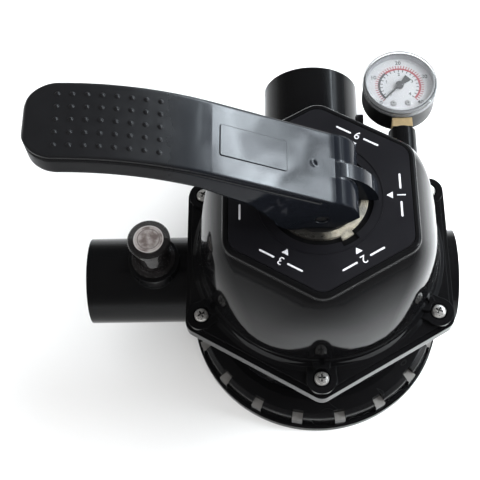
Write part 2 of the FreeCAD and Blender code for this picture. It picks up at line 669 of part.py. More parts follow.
def down_slope(start, x, slope):
    """The point at x on the straight line that falls at a slope, in degrees, from a start point."""
    return x, start[1] - (x - start[0]) * math.tan(math.radians(slope))


def grip_plan(label, reach, half_width, end_round):
    """The lever's outline from above, with a round end at the grip, as a tall prism to trim it with."""
    body = new_body(label)
    subparts.remove(body)
    side_y = half_width - end_round
    bow = end_round * (1 - math.sqrt(0.5))
    hub_end = 50
    sketch = new_sketch(body, z="plate_top - 10")
    outline(sketch, (hub_end, -half_width), [
        (hub_end, half_width), (reach + end_round, half_width), (reach + bow, half_width - bow, reach, side_y),
        (reach, -side_y), (reach + bow, bow - half_width, reach + end_round, -half_width),
        (hub_end, -half_width)])
    pad(body, sketch, 130)
    return body


def make_studs(bend, bend_radius):
    """Low round studs that follow the top of the grip, in eight rows across it."""
    pitch = value("stud_pitch")
    studs = []
    for row_number in range(8):
        turn = 1.8 + row_number * math.degrees(pitch / bend_radius)
        x, z = on_arc(bend, bend_radius - 0.7, turn)
        swing = math.radians(turn)
        upright = Vector(math.sin(swing), 0, math.cos(swing))
        for place_across in range(-2, 3):
            studs.append(Part.makeSphere(1.7, Vector(x, place_across * pitch, z), upright))
    return studs


def raised_panel(spot, slope):
    """A thin blank panel that lies on the arm, centred across it, with its lower end at a spot."""
    length, width, relief, sunk, corner = 42, 20, 0.5, 2, 1.2
    panel = Part.makeBox(length, width, sunk + relief, Vector(0, -width / 2, -sunk))
    upright = [edge for edge in panel.Edges if abs(edge.Length - sunk - relief) < 1e-6]
    panel = panel.makeFillet(corner, upright)
    panel.Placement = Placement(Vector(spot[0], 0, spot[1]), Rotation(Vector(0, 1, 0), 180 + slope)
                                .multiply(Rotation(Vector(1, 0, 0), 180)))
    return panel


def make_handle():
    """Hollow lever with a cranked arm, two cams astride the stem, a pointer nose and a studded grip."""
    reach = -value("handle_reach")
    top = value("handle_top")
    bend_radius = value("arm_bend_radius")
    bend = (reach + 13, top - bend_radius)
    slope = value("arm_angle")
    skirt = bend_radius - value("skirt_depth")
    wall = value("handle_wall")
    half_width = value("handle_half_width")
    pin = value("pin_height")
    washer = value("washer_top")
    cam = (-value("cam_offset"), pin)
    cam_radius = pin - washer - value("running_gap")
    arm_start = on_arc(bend, bend_radius, slope)
    knuckle = (4, pin + 2)
    crease_x = 8
    crease = down_slope(arm_start, crease_x, slope)
    knuckle_radius = math.dist(knuckle, crease)
    under = washer + 1.6
    cam_side = math.sqrt(cam_radius ** 2 - (pin - under) ** 2)

    body = new_body("handle_moulding")
    subparts.remove(body)
    side = new_sketch(body, "XZ_Plane")
    outline(side, crease, [
        (*on_arc(knuckle, knuckle_radius, 48), knuckle[0] + knuckle_radius, knuckle[1]),
        (10, under), (cam[0] + cam_side, under), (*on_arc(cam, cam_radius, 190), cam[0] - cam_radius, pin),
        (-40, washer + 31.3), on_arc(bend, skirt, slope), (*on_arc(bend, skirt, slope / 2), bend[0], bend[1] + skirt),
        (reach, bend[1] + skirt), (reach, top - 4), (reach + 1.2, top - 1.2, reach + 4, top), (bend[0], top),
        (*on_arc(bend, bend_radius, slope / 2), *arm_start), crease])
    pad(body, side, "2 * handle_half_width", symmetric=True)

    plan = grip_plan("handle_plan", reach, half_width, 19)
    core_plan = grip_plan("handle_core_plan", reach + wall, half_width - wall, 16)

    core = new_body("handle_core")
    subparts.remove(core)
    hollow = new_sketch(core, "XZ_Plane")
    inner = bend_radius - wall
    inner_start = on_arc(bend, inner, slope)
    hub_side = -34
    outline(hollow, inner_start, [
        down_slope(inner_start, hub_side, slope), (hub_side, washer), (reach + wall, pin + 30), (reach + wall, top - wall),
        (bend[0], top - wall), (*on_arc(bend, inner, slope / 2), *inner_start)])
    pad(core, hollow, "2 * handle_half_width - 2 * handle_wall", symmetric=True)

    slot = new_sketch(body, "XZ_Plane")
    room = value("stem_radius") + 0.6
    swing = math.radians(20)
    far = (-room * math.cos(swing) - 22 * math.sin(swing), pin + room * math.sin(swing) - 22 * math.cos(swing))
    polygon(slot, [(room, pin), (room, far[1]), far, (-room * math.cos(swing), pin + room * math.sin(swing))])
    pocket(body, slot, "2 * stem_radius + 0.6", symmetric=True)
    cylinder(body, "stem_top_radius + 1.1", "2 * stem_radius + 0.6", 0, "-1 * stem_radius - 0.3", "pin_height",
             Vector(0, 1, 0), cut=True)
    cylinder(body, "pin_radius + running_gap", 60, 0, -30, "pin_height", Vector(0, 1, 0), cut=True)

    nose = new_sketch(body, "XZ_Plane")
    tip = (35.5, washer + 0.5)
    outline(nose, (crease_x - 2, crease[1] - 2), [
        (crease_x, crease[1]), (26, washer + 21.5, *tip), (31, washer + 0.5), (14, washer + 3), (12, pin + 4)])
    pad(body, nose, "2 * pointer_half_width", symmetric=True)
    doc.recompute()

    groove = new_body("handle_groove")
    subparts.remove(groove)
    line = new_sketch(groove, "XZ_Plane")
    upper, lower = (on_arc(bend, bend_radius - depth, slope) for depth in (2.4, 4.8))
    outline(line, (reach - 2, top - 2.4), [
        (bend[0], top - 2.4), (*on_arc(bend, bend_radius - 2.4, slope / 2), *upper), down_slope(upper, 0, slope),
        down_slope(lower, -1.2, slope), lower, (*on_arc(bend, bend_radius - 4.8, slope / 2), bend[0], top - 4.8),
        (reach - 2, top - 4.8), (reach - 2, top - 2.4)])
    pad(groove, line, "2 * handle_half_width + 4", symmetric=True)
    groove_depth = 0.8
    groove_plan = grip_plan("handle_groove_plan", reach + groove_depth, half_width - groove_depth,
                            19 - groove_depth)
    doc.recompute()

    hollow_space = core.Shape.common(core_plan.Shape)
    shadow_line = groove.Shape.cut(groove_plan.Shape)
    panel = raised_panel(down_slope(arm_start, -20, slope), slope)
    dimple_radius, dimple_depth = 6, 0.6
    dimple_x, dimple_z = down_slope(arm_start, -4.5, slope)
    lifted = dimple_radius - dimple_depth
    dimple = Part.makeSphere(dimple_radius, Vector(
        dimple_x + lifted * math.sin(math.radians(slope)), 0, dimple_z + lifted * math.cos(math.radians(slope))))
    handle = doc.addObject("Part::Feature", "handle")
    handle.Label = "handle"
    shell = body.Shape.common(plan.Shape).cut([hollow_space, shadow_line, dimple])
    handle.Shape = shell.fuse([panel, *make_studs(bend, bend_radius)])
    subparts.append(handle)

    rod = new_body("handle_pin")
    cylinder(rod, "pin_radius - 0.01", "2 * handle_half_width - 2.4", 0, "1.2 - handle_half_width",
             "pin_height", Vector(0, 1, 0))


# ---------------------------------------------------------------- sight glass and pressure gauge

def make_sight_glass():
    """Clear cup screwed into the side port's boss."""
    body = revolved_body("sight_glass", [
        ("glass_radius - 1.9", "glass_seat - 8"), ("glass_radius - 0.1", "glass_seat - 8"),
        ("glass_radius - 0.1", "glass_seat"), (15, "glass_seat"), (15, "glass_seat + 2.3"),
        ("glass_radius + 1.8", "glass_seat + 3.2"), ("glass_radius + 1.8", "glass_top - 5"),
        ("glass_head_radius", "glass_top - 4"), ("glass_head_radius", "glass_top - 1"),
        ("glass_head_radius - 0.8", "glass_top"), (0, "glass_top"), (0, "glass_top - 3.4"),
        ("glass_radius - 1.7", "glass_top - 3.4")])
    place(body, "glass_x")


def make_gauge():
    """Bottom-entry pressure gauge that lies flat, read from above."""
    radius = "gauge_radius"
    parts = {
        "gauge_case": [(0, -12), (f"{radius} - 2.5", -12), (f"{radius} - 0.7", -10), (f"{radius} - 0.7", 8.2),
                       (f"{radius} - 1.9", 8.2), (f"{radius} - 1.9", 10.4), (f"{radius} - 2.9", 10.4),
                       (f"{radius} - 2.9", -9.5), (0, -9.5)],
        "gauge_lens": [(f"{radius} - 1.8", 8.3), (f"{radius} - 0.6", 8.3), (f"{radius} - 0.6", 6.8),
                       (radius, 6.8), (radius, 11.2), (f"{radius} - 1.3", 12.5), (0, 12.5), (0, 10.6),
                       (f"{radius} - 1.8", 10.6)],
        "gauge_dial": [(1.2, 5.2), (f"{radius} - 3", 5.2), (f"{radius} - 3", 6), (1.2, 6)],
        "gauge_needle": [(0, 0.5), (0.95, 0.5), (0.95, 6.6), (2.6, 6.6), (2.6, 8), (1.8, 8.6), (0, 8.6)],
    }
    bodies = {}
    for label, corners in parts.items():
        bodies[label] = revolved_body(label, corners)
        place(bodies[label], "gauge_x", "gauge_y", "gauge_stem_height")
    cylinder(bodies["gauge_case"], 5.1, 14, 0, "8 - gauge_radius", 0, Vector(0, -1, 0), cut=True)

    blade = new_sketch(bodies["gauge_needle"], z=7.1)
    polygon(blade, [(-8, -2.6), (-2, -1), (0, -1.6), (14.5, -0.45), (15.6, 0), (14.5, 0.45), (0, 1.6), (-2, 1),
                    (-8, 2.6)])
    pad(bodies["gauge_needle"], blade, 0.6)
    bodies["gauge_needle"].Placement.Rotation = Rotation(Vector(0, 0, 1), 225)

    stem = new_body("gauge_stem")
    toward = Vector(0, 1, 0)
    cylinder(stem, 4.85, 30, 0, "8.6 - gauge_radius - 27", 0, toward)
    wrench_block = new_sketch(stem, "XZ_Plane", "gauge_radius + 0.1")
    polygon(wrench_block, [(-6.5, -6.5), (6.5, -6.5), (6.5, 6.5), (-6.5, 6.5)])
    pad(stem, wrench_block, "gauge_y - gauge_radius - gauge_boss_end - 1.3")
    block(stem, 9, 8, 8, -4.5, "6 - gauge_radius + 4", -4)
    cylinder(stem, 1.6, 32, 0, "8.6 - gauge_radius - 28", 0, toward, cut=True)
    place(stem, "gauge_x", "gauge_y", "gauge_stem_height")

    washer = new_body("gauge_stem_seal")
    seal_sketch = new_sketch(washer, "XZ_Plane", "gauge_y - gauge_boss_end - 1.2")
    circle(seal_sketch, 7.4)
    circle(seal_sketch, 4.95)
    pad(washer, seal_sketch, 1.2)
    place(washer, "gauge_x", "gauge_y", "gauge_stem_height")

    movement = new_body("gauge_movement")
    block(movement, 20, 10, 8, -10, 0, -3.4)
    cylinder(movement, 1, 12, 0, 0, -5, cut=True)
    place(movement, "gauge_x", "gauge_y", "gauge_stem_height")

    tube = doc.addObject("Part::Torus", "bourdon_tube")
    tube.Label = "bourdon_tube"
    bind(tube, Radius1="gauge_radius - 8.7", Radius2=1.5)
    tube.Angle3 = 240
    place(tube, "gauge_x", "gauge_y", "gauge_stem_height - 7", Rotation(Vector(0, 0, 1), -75))
    subparts.append(tube)


make_valve_body()
make_lid()
make_label()
make_hub_washers()
make_screws()
make_seals()
make_collar_nut()
make_rotor()
make_stem()
make_spring()
make_handle()
make_sight_glass()
make_gauge()
doc.recompute()

for item in doc.Objects:
    if "Invalid" in item.State or "Error" in item.State:
        raise RuntimeError(f"{item.Label} failed to build: {item.State}")
for part in subparts:
    if part.Shape.isNull() or not part.Shape.isValid() or not part.Shape.Solids:
        raise RuntimeError(f"{part.Label} has no valid solid")

os.makedirs("parts", exist_ok=True)
for part in subparts:
    part.Shape.exportStep(f"parts/{part.Label}.step")
    print(part.Label, len(part.Shape.Solids), "solid, volume", round(part.Shape.Volume), "mm3")
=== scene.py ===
import math

import bmesh
import bpy
from mathutils import Matrix, Vector


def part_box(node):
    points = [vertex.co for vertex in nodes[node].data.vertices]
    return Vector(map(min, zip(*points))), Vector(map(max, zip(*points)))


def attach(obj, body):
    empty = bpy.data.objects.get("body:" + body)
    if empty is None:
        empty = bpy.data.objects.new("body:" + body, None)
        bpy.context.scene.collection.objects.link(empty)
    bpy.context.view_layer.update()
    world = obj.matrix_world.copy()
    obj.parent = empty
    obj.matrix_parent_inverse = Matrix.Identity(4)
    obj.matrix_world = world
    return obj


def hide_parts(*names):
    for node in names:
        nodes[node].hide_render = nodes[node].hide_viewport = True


# A six-way multiport valve, seen from above its front. Metres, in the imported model's own frame.
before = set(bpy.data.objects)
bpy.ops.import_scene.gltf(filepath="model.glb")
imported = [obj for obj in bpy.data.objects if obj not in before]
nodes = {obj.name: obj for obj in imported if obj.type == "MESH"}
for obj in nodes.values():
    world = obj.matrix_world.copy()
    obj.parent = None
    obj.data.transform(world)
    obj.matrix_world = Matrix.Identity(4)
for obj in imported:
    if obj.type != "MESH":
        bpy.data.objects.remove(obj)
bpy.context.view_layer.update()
MM = 0.001


# ---------------------------------------------------------------- camera, light and floor

# The camera stands back along the view from the middle of the lid's screw circle, and a little aside and up.
CAMERA_ELEVATION, CAMERA_AZIMUTH, CAMERA_ROLL = 63.7, 5.36, -5.91      # degrees
CAMERA_DISTANCE = 0.719
CAMERA_ASIDE, CAMERA_ABOVE = -0.0524, 0.0078
SCREW_PLANE = 0.112
LENS, SENSOR_WIDTH = 79.7, 36        # mm

# Brightness by height in the room and in its window. Position 0 is straight down, 0.5 is level, 1 is straight up.
ROOM_STOPS = ((0.0, 0.085), (0.505, 0.08), (0.55, 0.040), (0.66, 0.016), (0.76, 0.010), (1.0, 0.010))
WINDOW_STOPS = ((0.50, 0.07), (0.56, 0.035), (0.64, 0.09), (0.690, 0.42), (0.715, 0.48), (0.737, 0.50),
                (0.744, 1.0), (0.751, 0.95), (0.762, 0.36), (0.785, 0.17), (0.82, 0.05), (0.88, 0.012))
BRIGHTNESS = 10.0                    # of a stop at 1
WINDOW_AZIMUTH = 30.0                # degrees from +X towards +Y
WINDOW_SIDE = (0.60, 0.72)           # its side fades between these cosines of the angle from its middle
WINDOW_COLOUR = (0.84, 0.93, 1.0)
CLOUD_SCALE, CLOUD_SWIRL = 26.0, 1.2
CLOUD_EDGE = (0.44, 0.56)            # noise values where a cloud starts and where it is full
CLOUD_LIGHT = (0.50, 1.85)           # the window's light between clouds and in them
CLOUD_FOOT = (0.34, 0.40)            # clouds set in between these heights of the direction

MIDDLE = (0, 0, 0.1)
# Name, place, aim, size, power in watts, colour, and whether the glossy plastics mirror it.
LAMPS = (
    ("lamp_left", (-1.25, -0.75, 0.95), MIDDLE, (1.0, 1.2), 13, (1, 0.99, 0.97), False),
    ("lamp_front", (0.55, -1.30, 1.10), MIDDLE, (1.2, 1.0), 7, (1, 1, 1), False),
    ("lamp_key", (1.15, 0.85, 1.05), MIDDLE, (1.2, 1.2), 11, (0.98, 0.99, 1), False),
    ("lamp_over", (0, 0, 3.0), MIDDLE, (6.0, 6.0), 105, (1, 1, 1), False),
    ("lamp_low_right", (0.38, 0.05, 0.42), (0.38, 0.051, 0), (0.25, 0.30), 5, (0.95, 0.98, 1), False),
    ("strip_right", (1.05, -0.10, 0.42), (0, 0, 0.12), (0.10, 0.7), 3.0, (0.9, 0.96, 1), True),
)
FLOOR_REACH = 4.0


def add_camera():
    """The camera looks down on the front of the valve, a little rolled."""
    azimuth, elevation, roll = (math.radians(a) for a in (CAMERA_AZIMUTH, CAMERA_ELEVATION, CAMERA_ROLL))
    back = Vector((math.sin(azimuth) * math.cos(elevation), -math.cos(azimuth) * math.cos(elevation),
                   math.sin(elevation)))
    level = Vector((math.cos(azimuth), math.sin(azimuth), 0))
    upright = back.cross(level)
    right = level * math.cos(roll) + upright * math.sin(roll)
    up = upright * math.cos(roll) - level * math.sin(roll)
    spot = back * CAMERA_DISTANCE + right * CAMERA_ASIDE + up * CAMERA_ABOVE + Vector((0, 0, SCREW_PLANE))
    camera = bpy.data.objects.new("camera", bpy.data.cameras.new("camera"))
    camera.data.lens = LENS
    camera.data.sensor_width = SENSOR_WIDTH
    camera.matrix_world = Matrix((
        (right.x, up.x, back.x, spot.x), (right.y, up.y, back.y, spot.y), (right.z, up.z, back.z, spot.z),
        (0, 0, 0, 1)))
    bpy.context.scene.collection.objects.link(camera)
    bpy.context.scene.camera = camera


def add_softbox(name, place, aim, size, power, colour, mirrored):
    """A soft rectangular lamp."""
    light = bpy.data.lights.new(name, "AREA")
    light.shape = "RECTANGLE"
    light.size, light.size_y = size
    light.energy = power
    light.color = colour
    lamp = bpy.data.objects.new(name, light)
    lamp.location = place
    lamp.rotation_euler = (Vector(aim) - Vector(place)).to_track_quat("-Z", "Y").to_euler()
    lamp.visible_glossy = mirrored
    bpy.context.scene.collection.objects.link(lamp)


class Nodes:
    """Short calls for building a node tree."""

    def __init__(self, tree):
        self.tree = tree

    def put(self, given, slot):
        """Link a node's output to an input, or set the input to a plain value."""
        if isinstance(given, bpy.types.NodeSocket):
            self.tree.links.new(given, slot)
        else:
            slot.default_value = given

    def add(self, kind, operation=None, **inputs):
        """A node. An input is given by its name, or as n0, n1 and so on by its number."""
        made = self.tree.nodes.new(kind)
        if operation:
            made.operation = operation
        for key, given in inputs.items():
            by_number = key[0] == "n" and key[1:].isdigit()
            self.put(given, made.inputs[int(key[1:]) if by_number else key.replace("_", " ")])
        return made

    def ramp(self, value, low, high, out_low=0.0, out_high=1.0):
        """A value's range low to high, mapped smoothly to another range and clamped."""
        made = self.add("ShaderNodeMapRange", Value=value, n1=low, n2=high, n3=out_low, n4=out_high)
        made.interpolation_type = "SMOOTHSTEP"
        return made.outputs[0]

    def band(self, value, low, high, soft=0.3 * MM):
        """1 where a value is between low and high, with soft ends inside that range."""
        return self.maths("MULTIPLY", self.ramp(value, low, low + soft), self.ramp(value, high - soft, high, 1, 0))

    def maths(self, operation, first, second=0.0):
        return self.add("ShaderNodeMath", operation, n0=first, n1=second).outputs[0]

    def vector_maths(self, operation, first, **inputs):
        made = self.add("ShaderNodeVectorMath", operation, n0=first, **inputs)
        return made.outputs["Value" if operation in ("DOT_PRODUCT", "LENGTH") else "Vector"]

    def blended(self, share, first, second):
        """One number turning into another."""
        return self.add("ShaderNodeMix", n0=share, n2=first, n3=second).outputs[0]

    def mixed(self, share, first, second):
        """One colour turning into another."""
        made = self.tree.nodes.new("ShaderNodeMix")
        made.data_type = "RGBA"
        for slot, given in ((0, share), (6, first), (7, second)):
            self.put((*given, 1) if isinstance(given, tuple) else given, made.inputs[slot])
        return made.outputs[2]

    def profile(self, value, stops):
        """A curve of straight pieces through (position, level) stops, both from 0 to 1."""
        made = self.add("ShaderNodeValToRGB", Fac=value)
        marks = made.color_ramp.elements
        while len(marks) < len(stops):
            marks.new(0.5)
        for mark, (position, level) in zip(marks, stops):
            mark.position = position
            mark.color = (level, level, level, 1)
        return made.outputs["Color"]


def add_room():
    """A pale room with a dim ceiling and one cloudy window, behind the right of the valve."""
    world = bpy.data.worlds.new("room")
    world.use_nodes = True
    bpy.context.scene.world = world
    room = Nodes(world.node_tree)
    direction = room.add("ShaderNodeTexCoord").outputs["Generated"]
    height = room.add("ShaderNodeSeparateXYZ", Vector=direction).outputs["Z"]
    level = room.maths("ADD", room.maths("MULTIPLY", height, 0.5), 0.5)
    swing = math.radians(WINDOW_AZIMUTH)
    towards = room.vector_maths("DOT_PRODUCT", direction, n1=(math.cos(swing), math.sin(swing), 0))
    in_window = room.ramp(towards, *WINDOW_SIDE)
    cloud = room.add("ShaderNodeTexNoise", Vector=direction, Scale=CLOUD_SCALE, Detail=3.0, Distortion=CLOUD_SWIRL)
    patch = room.ramp(cloud.outputs["Fac"], *CLOUD_EDGE, *CLOUD_LIGHT)
    cloudy = room.ramp(height, *CLOUD_FOOT)
    broken = room.maths("ADD", room.maths("MULTIPLY", cloudy, room.maths("SUBTRACT", patch, 1.0)), 1.0)
    pane = room.vector_maths("MULTIPLY", room.profile(level, WINDOW_STOPS), n1=WINDOW_COLOUR)
    lit = room.vector_maths("SCALE", pane, Scale=broken)
    background = world.node_tree.nodes["Background"]
    room.put(room.mixed(in_window, room.profile(level, ROOM_STOPS), lit), background.inputs["Color"])
    background.inputs["Strength"].default_value = BRIGHTNESS


def add_studio():
    """The room, the lamps and a plain floor."""
    add_room()
    for lamp in LAMPS:
        add_softbox(*lamp)
    bpy.context.scene.view_settings.view_transform = "Standard"

    floor = bpy.data.meshes.new("floor")
    corners = [(x * FLOOR_REACH, y * FLOOR_REACH, 0) for x, y in ((-1, -1), (1, -1), (1, 1), (-1, 1))]
    floor.from_pydata(corners, [], [(0, 1, 2, 3)])
    ground = bpy.data.objects.new("floor", floor)
    bpy.context.scene.collection.objects.link(ground)
    paint = Material("floor_white", 0.8)
    paint.tint(paint.noise(3, 2), (0.92, 0.92, 0.92), (0.94, 0.94, 0.94))
    floor.materials.append(paint.material)


# ---------------------------------------------------------------- materials

class Material(Nodes):
    """One node material, built up from patterns in the object's own coordinates."""

    def __init__(self, name, roughness, metal=0.0):
        self.material = bpy.data.materials.new(name)
        self.material.use_nodes = True
        super().__init__(self.material.node_tree)
        self.shader = self.tree.nodes["Principled BSDF"]
        self.feed("Roughness", roughness)
        self.feed("Metallic", metal)
        self.place = self.add("ShaderNodeTexCoord").outputs["Object"]
        self.relief = None

    def feed(self, name, given):
        self.put(given, self.shader.inputs[name])

    def stretched(self, x, y, z):
        """The object's coordinates, scaled by a factor along each axis."""
        return self.add("ShaderNodeMapping", Vector=self.place, Scale=(x, y, z)).outputs[0]

    def noise(self, scale, detail=4.0, where=None):
        made = self.add("ShaderNodeTexNoise", Vector=where or self.place, Scale=scale, Detail=detail, Roughness=0.55)
        return made.outputs["Fac"]

    def patchy(self, scale, detail, low, high, out_low=0.0, out_high=1.0):
        """A noise, with its range low to high mapped to another range."""
        return self.ramp(self.noise(scale, detail), low, high, out_low, out_high)

    def scratches(self, scale, width, patches, most):
        """Thin wandering lines, where a noise crosses its middle value, in patches of a wider noise."""
        off = self.maths("ABSOLUTE", self.maths("SUBTRACT", self.noise(scale, 2), 0.5))
        lines = self.ramp(off, 0.0, width, 1.0, 0.0)
        return self.maths("MULTIPLY", lines, self.patchy(*patches, 0, most))

    def tint(self, share, first, second):
        self.feed("Base Color", self.mixed(share, first, second))

    def bump(self, height, depth):
        """Add a relief, with depth in metres, on top of any relief that is there."""
        made = self.add("ShaderNodeBump", Height=height, Distance=depth, Strength=1.0)
        if self.relief:
            self.put(self.relief, made.inputs["Normal"])
        self.relief = made.outputs[0]
        self.feed("Normal", self.relief)

    def soft_edges(self, radius, samples=6):
        """Edges catch the light as if they were rounded. It comes before any bump."""
        made = self.add("ShaderNodeBevel", Radius=radius)
        made.samples = samples
        self.relief = made.outputs[0]
        self.feed("Normal", self.relief)

    def axis(self, name):
        return self.add("ShaderNodeSeparateXYZ", Vector=self.place).outputs[name]

    def facing_up(self):
        """1 where a surface faces straight up."""
        normal = self.add("ShaderNodeNewGeometry").outputs["Normal"]
        return self.add("ShaderNodeSeparateXYZ", Vector=normal).outputs["Z"]

    def away_from(self, x, y):
        """The level distance from an upright line."""
        shifted = self.vector_maths("SUBTRACT", self.place, n1=(x, y, 0))
        flat = self.vector_maths("MULTIPLY", shifted, n1=(1, 1, 0))
        return self.vector_maths("LENGTH", flat)

    def see_through(self, share):
        """Let a share of the light straight through, as thin clear plastic does."""
        through = self.add("ShaderNodeBsdfTransparent")
        mix = self.add("ShaderNodeMixShader", n0=share, n1=self.shader.outputs[0], n2=through.outputs[0])
        self.put(mix.outputs[0], self.tree.nodes["Material Output"].inputs["Surface"])


def shaded(colour, factor):
    return tuple(part * factor for part in colour)


def gloss_black(name, shade=0.0032, smooth=0.06, dull=0.13, edge=0.9 * MM):
    """Injection-moulded black ABS: glossy, with faint sink marks, hairline scratches and a little dust."""
    paint = Material(name, smooth)
    paint.feed("Specular IOR Level", 0.12)
    paint.soft_edges(edge)
    dust = paint.patchy(900, 2, 0.66, 0.78, 0, 0.35)
    paint.tint(paint.maths("ADD", paint.patchy(12, 3, 0.3, 0.75, 0, 0.5), dust),
               (shade, shade, shade * 1.1), (shade * 1.9, shade * 1.9, shade * 1.95))
    smear = paint.patchy(24, 5, 0.35, 0.75, smooth, dull)
    scratches = paint.scratches(26, 0.006, (9, 2, 0.45, 0.6), 0.16)
    paint.feed("Roughness", paint.maths("ADD", smear, scratches))
    paint.bump(paint.noise(330, 2), 0.006 * MM)
    paint.bump(paint.noise(26, 1), 0.16 * MM)
    return paint


LUG_TOP = (15.0 * MM, 16.0 * MM)      # the tops of the collar's spanner lugs lie between these heights


def nut_black():
    """The collar's satin black, with a painted highlight in light grey, a little patchy, on top of its spanner lugs.
    """
    shade = 0.0034
    paint = gloss_black("nut_black", shade, 0.14, 0.24, 0.7 * MM)
    lug_top = paint.maths("MULTIPLY", paint.band(paint.axis("Z"), *LUG_TOP), paint.ramp(paint.facing_up(), 0.9, 0.99))
    # Painted highlight: the up-facing lug tops are coloured light grey.
    painted_lug_highlight = paint.maths("MULTIPLY", lug_top, paint.patchy(200, 4, 0.2, 0.7, 0.75, 1.0))
    paint.tint(painted_lug_highlight, (shade, shade, 0.0037), (0.165, 0.160, 0.155))
    return paint


def satin_black(name, shade=0.007):
    """Darker satin mouldings with a fine spark-eroded grain."""
    paint = Material(name, 0.42)
    paint.soft_edges(0.6 * MM)
    paint.tint(paint.noise(35), (shade * 0.85,) * 3, (shade * 1.25,) * 3)
    paint.feed("Roughness", paint.patchy(90, 4, 0.3, 0.7, 0.34, 0.46))
    paint.bump(paint.noise(1500, 3), 0.012 * MM)
    return paint


# Places on the lever, along its length (X) and across it (Y).
GRIP_CORNER_X, GRIP_CORNER_Y = -144 * MM, 4.5 * MM    # the middles of the grip's two round corners
RIM = (15.8 * MM, 16.8 * MM)                          # how far from them the rounded rim starts
ARM_POLISH = (-92 * MM, -64 * MM)                     # the satin grip turns into the polished arm
DIMPLE_X, DIMPLE = -4.5 * MM, (3.5 * MM, 5.5 * MM)    # the round dimple near the pin, and its edge
NOSE_SIDE = (6.0 * MM, 6.8 * MM)                      # the pointer nose is narrower than this
CAM_END_SHADE = (3 * MM, 8 * MM)                           # painted shade, a weaker reflection, on the cams' round ends starts here
EDGE_ROUND, RIM_ROUND, DIMPLE_ROUND = 0.5 * MM, 2.4 * MM, 1.2 * MM


def handle_plastic():
    """Black lever: a satin grip that turns into a polished, slightly wavy arm towards the hub."""
    paint = Material("handle_plastic", 0.3)
    along, across = paint.axis("X"), paint.maths("ABSOLUTE", paint.axis("Y"))
    past_corner = paint.maths("MINIMUM", paint.maths("SUBTRACT", along, GRIP_CORNER_X), 0.0)
    aside = paint.maths("MAXIMUM", paint.maths("SUBTRACT", across, GRIP_CORNER_Y), 0.0)
    squares = [paint.maths("MULTIPLY", reach, reach) for reach in (past_corner, aside)]
    rim = paint.ramp(paint.maths("SQRT", paint.maths("ADD", *squares)), *RIM)
    dimple = paint.ramp(paint.away_from(DIMPLE_X, 0), *DIMPLE, DIMPLE_ROUND, 0.0)
    paint.soft_edges(paint.maths("ADD", paint.ramp(rim, 0, 1, EDGE_ROUND, RIM_ROUND), dimple), 12)

    # Painted shade: the sides and underside reflect far less than the top, and the cams' round ends less again.
    specular_with_painted_side_shade = paint.ramp(paint.facing_up(), 0.15, 0.6, 0.045, 0.5)
    cam_end_painted_shade = paint.maths("MULTIPLY", paint.ramp(across, *NOSE_SIDE), paint.ramp(along, *CAM_END_SHADE))
    paint.feed("Specular IOR Level", paint.maths("MULTIPLY", specular_with_painted_side_shade, paint.ramp(cam_end_painted_shade, 0, 1, 1.0, 0.15)))

    polish = paint.ramp(along, *ARM_POLISH)
    grain = paint.noise(18)
    grip = paint.mixed(grain, (0.0058, 0.0058, 0.0066), (0.0082, 0.0082, 0.0092))
    arm = paint.mixed(grain, (0.005, 0.006, 0.008), (0.008, 0.009, 0.012))
    paint.tint(polish, grip, arm)
    satin = paint.patchy(150, 4, 0.3, 0.7, 0.30, 0.38)
    shiny = paint.patchy(45, 4, 0.35, 0.7, 0.035, 0.07)
    scratches = paint.scratches(60, 0.005, (14, 2, 0.5, 0.62), 0.12)
    paint.feed("Roughness", paint.maths("ADD", paint.blended(polish, satin, shiny), scratches))
    paint.bump(paint.noise(1700, 2), 0.006 * MM)
    paint.bump(paint.noise(34, 1), 0.22 * MM)
    return paint


def label_charcoal():
    """Matte printed dial plate."""
    paint = Material("label_charcoal", 0.42)
    paint.feed("Specular IOR Level", 0.32)
    paint.tint(paint.noise(22), (0.0040, 0.0038, 0.0050), (0.0062, 0.0060, 0.0075))
    paint.feed("Roughness", paint.patchy(60, 4, 0.3, 0.7, 0.36, 0.46))
    paint.bump(paint.noise(1300, 3), 0.008 * MM)
    return paint


def print_ink(name, colour):
    """Screen-printed ink, slightly uneven."""
    paint = Material(name, 0.5)
    paint.tint(paint.patchy(700, 3, 0.3, 0.75), colour, shaded(colour, 0.86))
    paint.bump(paint.noise(2500, 2), 0.01 * MM)
    return paint


def metal(name, colour, smooth, dull, bare=0.75):
    """Metal with fine drawn lines, a little dulled, and painted shade, near black, in its recesses."""
    paint = Material(name, smooth, bare)
    paint.soft_edges(0.3 * MM)
    lines = paint.noise(700, 3, paint.stretched(1, 1, 12))
    bright = paint.mixed(paint.patchy(160, 4, 0.35, 0.7), colour, shaded(colour, 0.82))
    # Painted shade: colour falls to near black where ambient occlusion finds a recess.
    openness_for_painted_shade = paint.add("ShaderNodeAmbientOcclusion", Distance=1.6 * MM).outputs["AO"]
    paint.tint(paint.ramp(openness_for_painted_shade, 0.45, 0.88), shaded(colour, 0.05), bright)
    paint.feed("Roughness", paint.ramp(lines, 0.3, 0.7, smooth, dull))
    paint.bump(lines, 0.01 * MM)
    return paint


PAINTED_SHADOW_SIDE = (-0.85, -0.53, 0)       # the side of the wear washer where the lever's painted shadow lies
PAINTED_SHADOW_EDGE = (4 * MM, 16 * MM)       # how far towards that side the painted shadow starts and is full
TURNING_PITCH = 0.9 * MM


